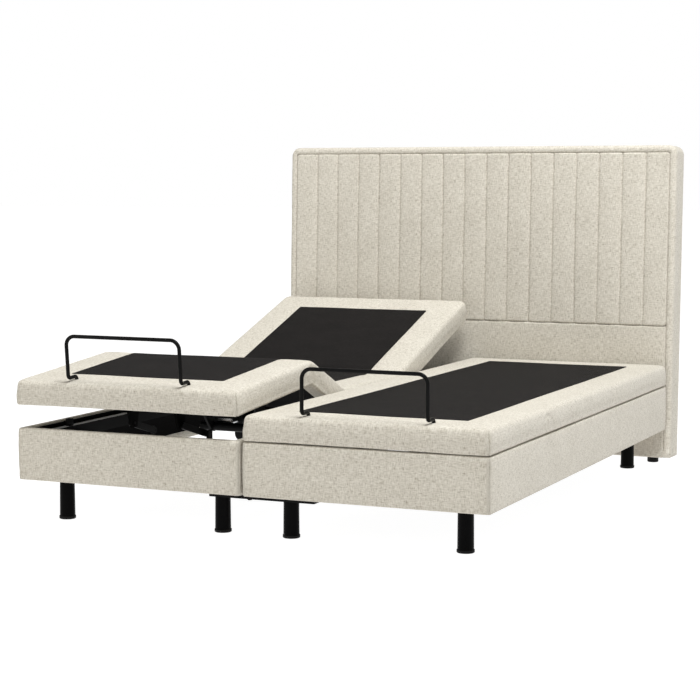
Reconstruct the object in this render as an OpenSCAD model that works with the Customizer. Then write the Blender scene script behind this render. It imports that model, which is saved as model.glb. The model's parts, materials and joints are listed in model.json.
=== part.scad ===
// Split adjustable bed base: two upholstered motor bases side by side and one headboard.
// Own frame: origin at the centre of the bounding box's underside, +Y to the headboard, +Z up.

/* [Output] */
// Which sub-part to draw, or all of them

/* [Base] */
// Length of each base box and of its flat deck, mm
base_len = 2010; // [1900:10:2100]
// Width of one base half, mm
half_w = 796; // [700:1:900]
// Gap between the two halves, mm
half_gap = 8; // [4:1:20]
// Height of the underside of the base boxes, mm
base_bottom = 136; // [100:1:200]
// Height of the base panels, mm
panel_h = 168; // [120:1:200]
// Thickness of an upholstered base panel, mm
panel_t = 28; // [18:1:40]

/* [Deck] */
// Height of the underside of the deck sections, mm
deck_z = 307; // [250:1:350]
// Height of a deck section with its cover, mm
deck_h = 78; // [50:1:120]
// Thickness of a section's board, mm
board_t = 18; // [12:1:25]
// Thickness of the cover's fabric skirt beside the board, mm
skirt_t = 5; // [3:1:10]
// Clearance between boards at each section joint, mm
joint_gap = 3; // [2:0.5:8]
// Clearance between pads at each section joint, mm
pad_gap = 12; // [10:0.5:20]
// Depth of the back and thigh hinges below the deck's top, mm
hinge_drop = 7; // [7:0.5:12]
// Depth of the knee hinge below the boards, mm
knee_drop = 7; // [6.5:0.5:12]
// Length of the foot section, mm
foot_len = 530; // [400:5:600]
// Length of the thigh section, mm
thigh_len = 265; // [200:5:400]
// Length of the fixed seat section, mm
seat_len = 463; // [200:1:600]
// Side margin of the grip inlay, mm
inlay_side = 122; // [80:1:180]
// Foot end margin of the grip inlay, mm
inlay_foot = 148; // [80:1:200]
// Head end margin of the grip inlay, mm
inlay_head = 126; // [80:1:200]
// Thickness of the grip inlay, mm
inlay_t = 2; // [1:0.5:4]

/* [Stored pose] */
// Back section angle of the left half, degrees
left_back = 18; // [0:0.5:60]
// Thigh section angle of the left half, degrees
left_thigh = 24.5; // [0:0.5:35]
// Back section angle of the right half, degrees
right_back = 0; // [0:0.5:60]
// Thigh section angle of the right half, degrees
right_thigh = 0; // [0:0.5:35]
// Knee fold in degrees per degree of the thigh section
knee_ratio = 1.2; // [1:0.01:1.4]

/* [Drives] */
// Lever length from a section's hinge to its cross tube, mm
lever_r = 150; // [120:1:180]
// Radius of a lever's cross tube, mm
lever_tube_r = 15; // [10:1:20]
// Largest back angle, degrees
back_max = 60; // [45:1:70]
// Largest thigh angle, degrees
thigh_max = 35; // [25:1:45]
// Free play between pusher and cross tube, mm
push_gap = 2; // [1:0.5:4]
// Radius of a push rod, mm
rod_r = 10; // [8:1:14]
// Sideways offset of each drive from the middle of its half, mm
drive_x = 70; // [60:1:90]

/* [Legs] */
// Leg distance from the long edges of a half, mm
leg_in = 114; // [60:1:150]
// Leg distance from the foot end, mm
leg_foot_y = 111; // [60:1:200]
// Leg distance from the head end, mm
leg_head_y = 131; // [60:1:200]
// Leg radius at the top, mm
leg_r = 24; // [18:0.5:30]
// Leg radius above the glide, mm
leg_low_r = 25; // [18:0.5:30]
// Radius of the glide under a leg, mm
glide_r = 27; // [20:0.5:35]
// Height of the glide under a leg, mm
glide_h = 10; // [5:0.5:15]

/* [Mattress retainer] */
// Outer width of a retainer bar, mm
bar_w = 415; // [300:5:500]
// Height of a retainer bar above the deck, mm
bar_h = 153; // [80:1:180]
// Rod radius of a retainer bar, mm
bar_r = 6; // [4:0.5:8]
// Corner radius of a retainer bar at the rod's middle, mm
bar_bend = 30; // [15:1:50]
// Distance of the retainer's uprights from the foot end, mm
bar_y = 12; // [8:1:60]
// Length of the retainer's feet, mm
bar_foot = 48; // [30:1:80]

/* [Headboard] */
// Width of the headboard, mm
head_w = 1630; // [1500:5:1700]
// Height of the headboard along its front, mm
head_h = 1225; // [900:5:1300]
// Thickness of the headboard, mm
head_t = 115; // [50:1:120]
// Thickness of the headboard's front pads, mm
head_pad_t = 34; // [20:1:50]
// Width of the border around the channelled pad, mm
head_border = 28; // [15:1:40]
// Height of the seam between channelled and plain pad, mm
head_seam = 532; // [400:1:700]
// Radius of the headboard's top corners, mm
head_corner = 35; // [20:1:60]
// Backward lean of the headboard, degrees
head_lean = 1.8; // [0:0.1:5]
// Gap between base and headboard at the floor, mm
head_gap = 12; // [5:1:40]

/* [Hidden] */
$fn = 64;
half_x = (half_gap + half_w) / 2;
deck_top = deck_z + deck_h;
knee_y = foot_len;
hip_y = foot_len + thigh_len;
back_y = hip_y + seat_len;
pivot_z = deck_top - hinge_drop;
knee = [knee_y, deck_z - knee_drop];
hip = [hip_y, pivot_z];
back_pivot = [back_y, pivot_z];
rail_x = 342;
rail_w = 25;
rail_z = 243;
rail_h = 40;
tube_wall = 2.5;
back_lever_y = back_y - lever_r * sin(back_max / 2);
back_lever_z = pivot_z - lever_r * cos(back_max / 2);
thigh_lever_y = hip_y + lever_r * sin(thigh_max / 2);
thigh_lever_z = pivot_z - lever_r * cos(thigh_max / 2);
back_per_deg = 2 * lever_r * sin(back_max / 2) / back_max;
thigh_per_deg = 2 * lever_r * sin(thigh_max / 2) / thigh_max;
push_z = 238;
pusher_t = 12;
pusher_half = 28;
pusher_low = 212;
pusher_high = 256;
housing_r = 21;
running = 0.06;
gear_y = 868;
back_tube_start = 930;
back_tube_end = 1138;
thigh_tube_start = 1045;
thigh_tube_end = 897;
motor_r = 28;
motor_len = 118;
motor_z = 186;
tie_front_y = 890;
tie_rear_y = 1133;
tie_w = 30;
link_pivot = [352.2, 267.5];
link_pin = [200, 222];
ear_in = 367;
ear_out = 374;
ear_t = 5;
ear_r = 6.5;
ear_pin_r = 4;
ear_reach = 70;
ear_slot = [363, 383];
butt_x = 260;
butt_half = 30;
butt_pin_r = 3.5;
butt_r = 6;
butt_t = 3;
link_x = 96;
link_t = 6;
link_tube_z = 248;
link_pin_r = 5;
link_slot_r = 7;
stub_r = 6;
plate_t = 8;
plate_x = 105;
leg_x = half_w / 2 - leg_in;
plate_z = 12;
block_h = 45;
head_y = base_len + head_gap;
head_foot_r = 21.5;
head_foot_x = 736.5;
head_base = 23;
spacer_z = 200;
spacer_r = 10;

function turn(p, a) = [p[0] * cos(a) - p[1] * sin(a), p[0] * sin(a) + p[1] * cos(a)];
function thigh_at(p, a) = hip + turn(p - hip, -a);
function foot_at(p, a) = thigh_at(knee + turn(p - knee, a * knee_ratio), a);
function link_turn(a) = atan2(
    link_pivot[1] - foot_at(link_pin, a)[1],
    link_pivot[0] - foot_at(link_pin, a)[0]
) - atan2(link_pivot[1] - link_pin[1], link_pivot[0] - link_pin[0]);
function back_of(side) = side < 0 ? left_back : right_back;
function thigh_of(side) = side < 0 ? left_thigh : right_thigh;

bar_middle = [bar_y, deck_top + bar_h - bar_r];
front_y = min([for (a = [left_thigh, right_thigh])
    min(0, foot_at([0, deck_top], a)[0], foot_at(bar_middle, a)[0] - bar_r)]);
rear_y = head_y + head_h * sin(head_lean) + head_t * cos(head_lean);
mid_y = (front_y + rear_y) / 2;

// Frames

module bed() {
    translate([0, -mid_y, 0]) children();
}

module half(side) {
    bed() translate([side * half_x, 0, 0]) children();
}

module about(p, a) {
    translate([0, p[0], p[1]]) rotate([a, 0, 0]) translate([0, -p[0], -p[1]]) children();
}

module on_back(side) {
    half(side) about(back_pivot, back_of(side)) children();
}

module on_thigh(side) {
    half(side) about(hip, -thigh_of(side)) children();
}

module on_foot(side) {
    on_thigh(side) about(knee, thigh_of(side) * knee_ratio) children();
}

module on_headboard() {
    bed() translate([0, head_y, 0]) rotate([-head_lean, 0, 0]) children();
}

// Small shapes

module block(x0, x1, y0, y1, z0, z1) {
    translate([x0, y0, z0]) cube([x1 - x0, y1 - y0, z1 - z0]);
}

module along_x(x0, x1, y, z, r) {
    translate([x0, y, z]) rotate([0, 90, 0]) cylinder(r = r, h = x1 - x0);
}

module along_y(x, y0, y1, z, r) {
    translate([x, y0, z]) rotate([-90, 0, 0]) cylinder(r = r, h = y1 - y0);
}

module plate_yz(x, t, points) {
    translate([x - t / 2, 0, 0])
        rotate([90, 0, 90])
            linear_extrude(height = t)
                polygon(points);
}

module box_tube_x(half_len, y0, y1, z0, z1) {
    difference() {
        block(-half_len, half_len, y0, y1, z0, z1);
        block(-half_len - 1, half_len + 1, y0 + tube_wall, y1 - tube_wall,
            z0 + tube_wall, z1 - tube_wall);
    }
}

// Base boxes

module end_panel(side, y0) {
    color("#cfc8b8") half(side)
        block(-half_w / 2 + panel_t, half_w / 2 - panel_t, y0, y0 + panel_t,
            base_bottom, base_bottom + panel_h);
}

module side_panel(side, edge) {
    color("#cfc8b8") half(side)
        block(edge * (half_w / 2) - (edge > 0 ? panel_t : 0),
            edge * (half_w / 2) + (edge < 0 ? panel_t : 0),
            0, base_len, base_bottom, base_bottom + panel_h);
}

module chassis_rails() {
    color("#b8babc")
        for (side = [-1, 1], e = [-1, 1])
            half(side) translate([e * (rail_x + rail_w / 2), 0, 0]) difference() {
                block(-rail_w / 2, rail_w / 2, panel_t, base_len - panel_t,
                    rail_z, rail_z + rail_h);
                block(-rail_w / 2 + tube_wall, rail_w / 2 - tube_wall, panel_t - 1,
                    base_len - panel_t + 1, rail_z + tube_wall, rail_z + rail_h - tube_wall);
            }
}

module link_lugs() {
    for (e = [-1, 1]) {
        block(e * (link_x + 12) - 4, e * (link_x + 12) + 4, link_pivot[0] - 14,
            link_pivot[0] + 14, link_tube_z, link_pivot[1] + 12);
        along_x(min(e * (link_x + 8), e * (link_x - 1)), max(e * (link_x + 8), e * (link_x - 1)),
            link_pivot[0], link_pivot[1], stub_r);
    }
}

module cross_tubes() {
    color("#26262a")
        for (side = [-1, 1])
            half(side) {
                box_tube_x(rail_x, link_pivot[0] - 15, link_pivot[0] + 15, link_tube_z - 20, link_tube_z);
                link_lugs();
                box_tube_x(rail_x, 100, 130, 250, 274);
                box_tube_x(rail_x, 1860, 1890, 250, 274);
                box_tube_x(rail_x + rail_w, tie_front_y, tie_front_y + tie_w,
                    rail_z + rail_h, deck_z);
                box_tube_x(rail_x + rail_w, tie_rear_y, tie_rear_y + tie_w,
                    rail_z + rail_h, deck_z);
                block(-drive_x - 10, -drive_x + 10, thigh_tube_end, tie_front_y + tie_w,
                    push_z + housing_r, rail_z + rail_h);
                block(drive_x - 10, drive_x + 10, back_tube_end - 10, tie_rear_y + tie_w,
                    push_z + housing_r, rail_z + rail_h);
            }
}

module corner_blocks() {
    color("#b08d5f")
        for (side = [-1, 1], e = [-1, 1], y = [panel_t, base_len - panel_t - 170])
            half(side) translate([e * (half_w / 2 - panel_t - 75), 0, 0])
                block(-75, 75, y, y + 170, base_bottom, base_bottom + block_h);
}

module buffers() {
    color("#18181a")
        for (side = [-1, 1], e = [-1, 1], y = [240, 620, 1400, 1850])
            half(side) translate([e * (rail_x + rail_w / 2), y, rail_z + rail_h])
                cylinder(r = 12.5, h = deck_z - rail_z - rail_h - 0.6);
}

module leg(top) {
    rotate_extrude() polygon([[0, glide_h], [leg_low_r, glide_h], [leg_r, top], [0, top]]);
}

module legs() {
    color("#1a1a1c")
        for (side = [-1, 1], e = [-1, 1], y = [leg_foot_y, base_len - leg_head_y])
            half(side) translate([e * leg_x, y, 0])
                leg(y < 500 && e * side < 0
                    ? base_bottom - 2 * plate_z
                    : base_bottom);
}

module leg_glides() {
    color("#111112")
        for (side = [-1, 1], e = [-1, 1], y = [leg_foot_y, base_len - leg_head_y])
            half(side) translate([e * leg_x, y, 0])
                rotate_extrude() polygon([
                    [0, 0], [glide_r - 2, 0], [glide_r, 2], [glide_r, glide_h - 1],
                    [glide_r - 1, glide_h], [0, glide_h]
                ]);
}

module connector_plates() {
    color("#1a1a1c") bed() {
        difference() {
            union() {
                block(-155, -10, leg_foot_y - 22, leg_foot_y + 22,
                    base_bottom - plate_z, base_bottom);
                block(-155, 205, leg_foot_y - 22, leg_foot_y + 22,
                    base_bottom - 2 * plate_z, base_bottom - plate_z);
                block(80, 205, leg_foot_y - 22, leg_foot_y + 22,
                    base_bottom - plate_z, base_bottom);
                translate([-25, leg_foot_y, base_bottom - 2 * plate_z - 6])
                    cylinder(r = 7.5, h = 8, $fn = 6);
            }
            block(-9, 79, leg_foot_y - 23, leg_foot_y + 23, base_bottom - plate_z, base_bottom + 1);
        }
    }
}

module control_boxes() {
    color("#1c1c1e")
        for (side = [-1, 1])
            half(side) difference() {
                block(-235, -125, 935, 1095, 262, deck_z);
                block(-195, -165, 1079, 1096, 276, 292);
            }
}

// Deck sections

module section_board(y0, y1) {
    block(-half_w / 2 + skirt_t, half_w / 2 - skirt_t,
        y0 + joint_gap / 2, y1 - joint_gap / 2, deck_z, deck_z + board_t);
}

module section_pad(y0, y1) {
    difference() {
        block(-half_w / 2, half_w / 2, y0, y1, deck_z, deck_top);
        board_pocket(y0 - 1, y1 + 1);
        children();
    }
}

module board_pocket(y0, y1) {
    block(-half_w / 2 + skirt_t - 0.3, half_w / 2 - skirt_t + 0.3,
        y0, y1, deck_z - 1, deck_z + board_t + 0.3);
}

module ear_slots(y0, y1) {
    for (e = [-1, 1])
        block(min(e * ear_slot[0], e * ear_slot[1]), max(e * ear_slot[0], e * ear_slot[1]),
            y0, y1, deck_z, deck_top + 1);
}

module section_inlay(y0, y1) {
    block(-half_w / 2 + inlay_side, half_w / 2 - inlay_side, y0, y1, deck_top, deck_top + inlay_t);
}

module seat_board(side) {
    color("#1d1d1f") half(side) section_board(hip_y, back_y);
}

module seat_pad(side) {
    color("#d8d2c4") half(side)
        section_pad(hip_y + pad_gap / 2, back_y - pad_gap / 2) {
            ear_slots(hip_y, hip_y + ear_reach + 3);
            ear_slots(back_y - ear_reach - 3, back_y);
        }
}

module seat_inlay(side) {
    color("#2c2b2c") half(side)
        section_inlay(hip_y + pad_gap / 2, back_y - pad_gap / 2);
}

module back_board(side) {
    color("#1d1d1f") on_back(side) section_board(back_y, base_len - skirt_t);
}

module back_pad(side) {
    color("#d8d2c4") on_back(side) difference() {
        block(-half_w / 2, half_w / 2, back_y + pad_gap / 2, base_len, deck_z, deck_top);
        board_pocket(back_y, base_len - skirt_t + 0.3);
        ear_slots(back_y, back_y + ear_reach + 3);
    }
}

module back_inlay(side) {
    color("#2c2b2c") on_back(side)
        section_inlay(back_y + pad_gap / 2, base_len - inlay_head);
}

module thigh_board(side) {
    color("#1d1d1f") on_thigh(side) section_board(knee_y, hip_y);
}

module thigh_pad(side) {
    color("#d8d2c4") on_thigh(side)
        section_pad(knee_y + pad_gap / 2, hip_y - pad_gap / 2)
            ear_slots(hip_y - ear_reach - 3, hip_y);
}

module thigh_inlay(side) {
    color("#2c2b2c") on_thigh(side)
        section_inlay(knee_y + pad_gap / 2, hip_y - pad_gap / 2);
}

module foot_board(side) {
    color("#1d1d1f") on_foot(side) {
        section_board(skirt_t, knee_y);
        for (e = [-1, 1])
            difference() {
                plate_yz(e * (link_x - 10), 8, [
                    [link_pin[0] - 45, deck_z + 1], [link_pin[0] - 16, link_pin[1] - 14],
                    [link_pin[0] + 16, link_pin[1] - 14], [link_pin[0] + 45, deck_z + 1]
                ]);
                along_x(e * (link_x - 10) - 5, e * (link_x - 10) + 5,
                    link_pin[0], link_pin[1], link_slot_r);
            }
        for (e = [-1, 1])
            translate([e * butt_x, 0, 0]) difference() {
                union() {
                    block(-butt_half, butt_half, knee_y - 55, knee_y - 8, deck_z - butt_t, deck_z);
                    block(-9.5, 9.5, knee_y - 9, knee_y, knee[1], deck_z - 1);
                    along_x(-9.5, 9.5, knee_y, knee[1], butt_r);
                }
                along_x(-10.5, 10.5, knee_y, knee[1], butt_pin_r + running);
            }
    }
}

module foot_pad(side) {
    color("#d8d2c4") on_foot(side) difference() {
        block(-half_w / 2, half_w / 2, 0, knee_y - pad_gap / 2, deck_z, deck_top);
        board_pocket(skirt_t - 0.3, knee_y);
        for (e = [-1, 1])
            translate([e * (bar_w / 2 - bar_r), bar_y + bar_foot, deck_z])
                cylinder(r = bar_r + 0.5, h = deck_h + 1);
    }
}

module foot_inlay(side) {
    color("#2c2b2c") on_foot(side)
        section_inlay(inlay_foot, knee_y - pad_gap / 2);
}

module bend(a0) {
    rotate([0, 0, a0]) rotate_extrude(angle = 90) translate([bar_bend, 0]) circle(r = bar_r);
}

module retainer(side) {
    up_x = bar_w / 2 - bar_r;
    top_z = deck_top + bar_h - bar_r;
    foot_z = deck_top + 12;
    small = 12;
    color("#17171a") on_foot(side) {
        translate([-up_x + bar_bend, bar_y, top_z]) rotate([0, 90, 0])
            cylinder(r = bar_r, h = 2 * (up_x - bar_bend));
        for (e = [0, 1]) mirror([e, 0, 0]) {
            translate([up_x - bar_bend, bar_y, top_z - bar_bend]) rotate([90, 0, 0]) bend(0);
            translate([up_x, bar_y, foot_z + small])
                cylinder(r = bar_r, h = top_z - bar_bend - foot_z - small);
            translate([up_x, bar_y + small, foot_z + small]) rotate([0, 90, 0])
                rotate_extrude(angle = -90) translate([small, 0]) circle(r = bar_r);
            along_y(up_x, bar_y + small, bar_y + bar_foot - small, foot_z, bar_r);
            translate([up_x, bar_y + bar_foot - small, foot_z - small]) rotate([0, 90, 0])
                rotate([0, 0, 180]) rotate_extrude(angle = -90)
                    translate([small, 0]) circle(r = bar_r);
            translate([up_x, bar_y + bar_foot, deck_z + board_t + 0.4])
                cylinder(r = bar_r, h = foot_z - small - deck_z - board_t - 0.4);
        }
    }
}

// Hinges

module ear(y, dir, x0) {
    translate([x0 + ear_t / 2, 0, 0]) {
        plate_yz(0, ear_t, [
            [y + dir * ear_reach, deck_z + board_t], [y + dir * 12, deck_z + board_t],
            [y - dir * 5, pivot_z - 4], [y + dir * 4, pivot_z + 5]
        ]);
        along_x(-ear_t / 2, ear_t / 2, y, pivot_z, ear_r);
    }
}

module moving_ears(y, dir) {
    for (e = [0, 1]) mirror([e, 0, 0])
        difference() {
            ear(y, dir, ear_in);
            along_x(ear_in - 1, ear_in + ear_t + 1, y, pivot_z, ear_pin_r + running);
        }
}

module hinge_ears() {
    color("#8d8f92")
        for (side = [-1, 1])
            half(side) for (e = [0, 1]) mirror([e, 0, 0]) {
                ear(back_y, -1, ear_out);
                along_x(ear_in - 1, ear_out + 1, back_y, pivot_z, ear_pin_r);
                ear(hip_y, 1, ear_out);
                along_x(ear_in - 1, ear_out + 1, hip_y, pivot_z, ear_pin_r);
            }
}

module knee_leaves() {
    for (e = [-1, 1])
        translate([e * butt_x, 0, 0]) {
            block(-butt_half, butt_half, knee_y + 8, knee_y + 55, deck_z - butt_t, deck_z);
            for (b = [-1, 1]) {
                block(b * 20 - 10, b * 20 + 10, knee_y, knee_y + 9, knee[1], deck_z - 1);
                along_x(b * 20 - 10, b * 20 + 10, knee_y, knee[1], butt_r);
            }
            along_x(-butt_half, butt_half, knee_y, knee[1], butt_pin_r);
        }
}

// Lifting gear

module back_lever(side) {
    color("#222225") on_back(side) {
        for (e = [-1, 1]) {
            plate_yz(e * plate_x, plate_t, [
                [back_y + 18, deck_z], [back_y + 190, deck_z],
                [back_lever_y + 8, back_lever_z - 20], [back_lever_y - 14, back_lever_z - 14],
                [back_lever_y - 16, back_lever_z + 12], [back_lever_y - 4, back_lever_z + 18]
            ]);
            block(e * plate_x - 25, e * plate_x + 25, back_y + 18, back_y + 200,
                deck_z - 4, deck_z);
        }
        along_x(-150, 150, back_lever_y, back_lever_z, lever_tube_r);
        moving_ears(back_y, 1);
    }
}

module thigh_lever(side) {
    color("#222225") on_thigh(side) {
        for (e = [-1, 1]) {
            plate_yz(e * plate_x, plate_t, [
                [hip_y - 18, deck_z], [hip_y - 160, deck_z],
                [thigh_lever_y - 8, thigh_lever_z - 20], [thigh_lever_y + 14, thigh_lever_z - 14],
                [thigh_lever_y + 16, thigh_lever_z + 12], [thigh_lever_y + 4, thigh_lever_z + 18]
            ]);
            block(e * plate_x - 25, e * plate_x + 25, hip_y - 170, hip_y - 18,
                deck_z - 4, deck_z);
        }
        along_x(-150, 150, thigh_lever_y, thigh_lever_z, lever_tube_r);
        moving_ears(hip_y, -1);
        knee_leaves();
    }
}

module drives(side) {
    color("#2a2a2e") half(side) {
        difference() {
            union() {
                along_y(drive_x, back_tube_start - 5, back_tube_end, push_z, housing_r);
                block(drive_x - 32, drive_x + 32, gear_y, back_tube_start,
                    motor_z - 30, rail_z + rail_h);
                along_y(drive_x, back_tube_start - 5, back_tube_start + motor_len,
                    motor_z, motor_r);
            }
            along_y(drive_x, back_tube_start + 3, back_tube_end + 1, push_z, rod_r + running);
        }
        difference() {
            union() {
                along_y(-drive_x, thigh_tube_end, thigh_tube_start + 5, push_z, housing_r);
                block(-drive_x - 32, -drive_x + 32, thigh_tube_start, thigh_tube_start + 60,
                    motor_z - 30, deck_z);
                along_y(-drive_x, thigh_tube_start - motor_len, thigh_tube_start + 5,
                    motor_z, motor_r);
            }
            along_y(-drive_x, thigh_tube_end - 1, thigh_tube_start - 3, push_z, rod_r + running);
        }
    }
}

module back_rod(side) {
    face = back_lever_y - lever_tube_r - push_gap + back_per_deg * back_of(side);
    color("#c4c6c8") half(side) {
        along_y(drive_x, face - 228, face - pusher_t + 1, push_z, rod_r);
        block(drive_x - pusher_half, drive_x + pusher_half, face - pusher_t, face,
            pusher_low, pusher_high);
    }
}

module thigh_rod(side) {
    face = thigh_lever_y + lever_tube_r + push_gap - thigh_per_deg * thigh_of(side);
    color("#c4c6c8") half(side) {
        along_y(-drive_x, face + pusher_t - 1, face + 180, push_z, rod_r);
        block(-drive_x - pusher_half, -drive_x + pusher_half, face, face + pusher_t,
            pusher_low, pusher_high);
    }
}

module foot_links(side) {
    dir = link_pin - link_pivot;
    len = norm(dir);
    tilt = atan2(dir[1], dir[0]);
    color("#222225") half(side) about(link_pivot, link_turn(thigh_of(side)))
        for (e = [-1, 1])
            difference() {
                union() {
                    translate([e * (link_x + 1) - link_t / 2, link_pivot[0], link_pivot[1]])
                        rotate([tilt, 0, 0]) {
                            translate([0, 0, -11]) cube([link_t, len, 22]);
                            rotate([0, 90, 0]) cylinder(r = 11, h = link_t);
                            translate([0, len, 0]) rotate([0, 90, 0])
                                cylinder(r = 11, h = link_t);
                        }
                    along_x(min(e * (link_x - 15), e * link_x), max(e * (link_x - 15), e * link_x),
                        link_pin[0], link_pin[1], link_pin_r);
                }
                along_x(e * (link_x + 1) - 6, e * (link_x + 1) + 6,
                    link_pivot[0], link_pivot[1], stub_r + running);
            }
}

// Headboard

module rounded_slab(w, h, r, y0, y1) {
    block(-w / 2, w / 2, y0, y1, 0, h - r);
    block(-w / 2 + r, w / 2 - r, y0, y1, h - r - 1, h);
    for (e = [-1, 1]) along_y(e * (w / 2 - r), y0, y1, h - r, r);
}

module head_body() {
    color("#cfc8b8") on_headboard() translate([0, 0, head_base])
        difference() {
            rounded_slab(head_w, head_h - head_base, head_corner, 0, head_t);
            translate([0, 0, -1])
                rounded_slab(head_w - 2 * head_border + 0.6, head_h - head_base - head_border + 1.3,
                    head_corner - 10, -1, head_pad_t + 0.3);
        }
}

module head_channels() {
    color("#d8d2c4") on_headboard() translate([0, 0, head_seam + 1])
        rounded_slab(head_w - 2 * head_border, head_h - head_border - head_seam - 1,
            head_corner - 10, 0, head_pad_t);
}

module head_lower() {
    color("#cfc8b8") on_headboard()
        block(-head_w / 2 + head_border, head_w / 2 - head_border, 0, head_pad_t,
            head_base, head_seam - 1);
}

module head_feet() {
    color("#111112") bed()
        for (e = [-1, 1])
            translate([e * head_foot_x, head_y + 46, 0])
                rotate_extrude() polygon([
                    [0, 0], [head_foot_r - 2, 0], [head_foot_r, 2],
                    [head_foot_r, 20.6], [0, 20.6]
                ]);
}

module head_spacers() {
    gap_y = head_gap + (spacer_z - spacer_r) * tan(head_lean);
    color("#1a1a1c") bed()
        for (side = [-1, 1], e = [-1, 1])
            along_y(side * half_x + e * leg_x, base_len, base_len + gap_y - 0.05,
                spacer_z, spacer_r);
}

end_panel(-1, 0);  // left_front_panel
end_panel(-1, base_len - panel_t);  // left_rear_panel
side_panel(-1, -1);  // left_outer_panel
side_panel(-1, 1);  // left_inner_panel
end_panel(1, 0);  // right_front_panel
end_panel(1, base_len - panel_t);  // right_rear_panel
side_panel(1, 1);  // right_outer_panel
side_panel(1, -1);  // right_inner_panel
seat_board(-1);  // left_seat_board
seat_pad(-1);  // left_seat_pad
seat_inlay(-1);  // left_seat_inlay
seat_board(1);  // right_seat_board
seat_pad(1);  // right_seat_pad
seat_inlay(1);  // right_seat_inlay
back_board(-1);  // left_back_board
back_pad(-1);  // left_back_pad
back_inlay(-1);  // left_back_inlay
back_lever(-1);  // left_back_lever
back_board(1);  // right_back_board
back_pad(1);  // right_back_pad
back_inlay(1);  // right_back_inlay
back_lever(1);  // right_back_lever
thigh_board(-1);  // left_thigh_board
thigh_pad(-1);  // left_thigh_pad
thigh_inlay(-1);  // left_thigh_inlay
thigh_lever(-1);  // left_thigh_lever
thigh_board(1);  // right_thigh_board
thigh_pad(1);  // right_thigh_pad
thigh_inlay(1);  // right_thigh_inlay
thigh_lever(1);  // right_thigh_lever
foot_board(-1);  // left_foot_board
foot_pad(-1);  // left_foot_pad
foot_inlay(-1);  // left_foot_inlay
retainer(-1);  // left_retainer
foot_board(1);  // right_foot_board
foot_pad(1);  // right_foot_pad
foot_inlay(1);  // right_foot_inlay
retainer(1);  // right_retainer
drives(-1);  // left_drives
back_rod(-1);  // left_back_rod
thigh_rod(-1);  // left_thigh_rod
foot_links(-1);  // left_foot_links
drives(1);  // right_drives
back_rod(1);  // right_back_rod
thigh_rod(1);  // right_thigh_rod
foot_links(1);  // right_foot_links
chassis_rails();
cross_tubes();
corner_blocks();
control_boxes();
buffers();
legs();
leg_glides();
connector_plates();
hinge_ears();
head_body();
head_channels();
head_lower();
head_feet();
head_spacers();
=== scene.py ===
"""Looks of the split adjustable bed base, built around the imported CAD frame. Metres, row frame."""
import json
import math

import bpy
import numpy as np
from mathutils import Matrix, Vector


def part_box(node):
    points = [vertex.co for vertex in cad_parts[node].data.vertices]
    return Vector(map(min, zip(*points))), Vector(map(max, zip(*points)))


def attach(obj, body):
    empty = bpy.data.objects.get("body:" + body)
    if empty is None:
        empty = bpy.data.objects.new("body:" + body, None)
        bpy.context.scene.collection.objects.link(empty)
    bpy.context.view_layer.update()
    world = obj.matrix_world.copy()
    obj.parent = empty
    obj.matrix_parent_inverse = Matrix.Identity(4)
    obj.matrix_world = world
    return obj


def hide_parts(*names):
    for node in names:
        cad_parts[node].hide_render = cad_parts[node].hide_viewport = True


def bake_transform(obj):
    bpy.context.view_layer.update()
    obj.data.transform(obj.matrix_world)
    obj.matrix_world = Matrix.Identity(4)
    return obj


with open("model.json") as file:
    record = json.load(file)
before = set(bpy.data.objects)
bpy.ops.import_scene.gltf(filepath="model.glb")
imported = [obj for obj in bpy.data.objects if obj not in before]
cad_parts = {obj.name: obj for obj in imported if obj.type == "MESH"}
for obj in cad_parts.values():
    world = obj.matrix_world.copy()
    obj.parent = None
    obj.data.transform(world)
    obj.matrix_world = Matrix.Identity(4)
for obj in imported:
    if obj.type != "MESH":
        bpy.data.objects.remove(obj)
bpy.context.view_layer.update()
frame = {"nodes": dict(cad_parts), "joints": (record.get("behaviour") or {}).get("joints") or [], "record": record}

# ---------------------------------------------------------------- what the frame says
JOINTS = {j["name"]: j for j in frame["joints"]}
KNEE_RATIO = next(c["ratio"] for c in frame["record"]["behaviour"]["couplings"]
                  if c["joint"] == "right_knee_hinge")
BACK = tuple(JOINTS["right_back_hinge"]["pos_m"][1:])
HIP = tuple(JOINTS["right_thigh_hinge"]["pos_m"][1:])
KNEE = tuple(JOINTS["right_knee_hinge"]["pos_m"][1:])
SIDES = {"left": -1, "right": 1}
BASE_Y0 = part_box("right_front_panel")[0].y
BASE_Y1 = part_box("right_rear_panel")[1].y
BASE_Z0, BASE_Z1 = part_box("right_front_panel")[0].z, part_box("right_front_panel")[1].z
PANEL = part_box("right_front_panel")[1].y - BASE_Y0
PAD_LOW, PAD_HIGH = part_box("right_seat_pad")
HALF_X = (PAD_LOW.x + PAD_HIGH.x) / 2
HALF_W = PAD_HIGH.x - PAD_LOW.x
DECK_Z0, DECK_Z1 = PAD_LOW.z, PAD_HIGH.z
INLAY_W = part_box("right_seat_inlay")[1].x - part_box("right_seat_inlay")[0].x
INLAY_Y0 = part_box("right_foot_inlay")[0].y
INLAY_Y1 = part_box("right_back_inlay")[1].y
HEAD_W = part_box("head_body")[1].x * 2
HEAD_LEAN = math.radians(1.8)
HEAD_BASE = 0.023     # the headboard's lower edge, measured up its own face
HEAD_SEAM = 0.532     # the seam between its lower and its channelled pad
HEAD_T = 0.115
HEAD_BORDER = 0.028
HEAD_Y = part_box("head_lower")[0].y - HEAD_BASE * math.sin(HEAD_LEAN)
HEAD_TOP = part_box("head_body")[1].z / math.cos(HEAD_LEAN)

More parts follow.
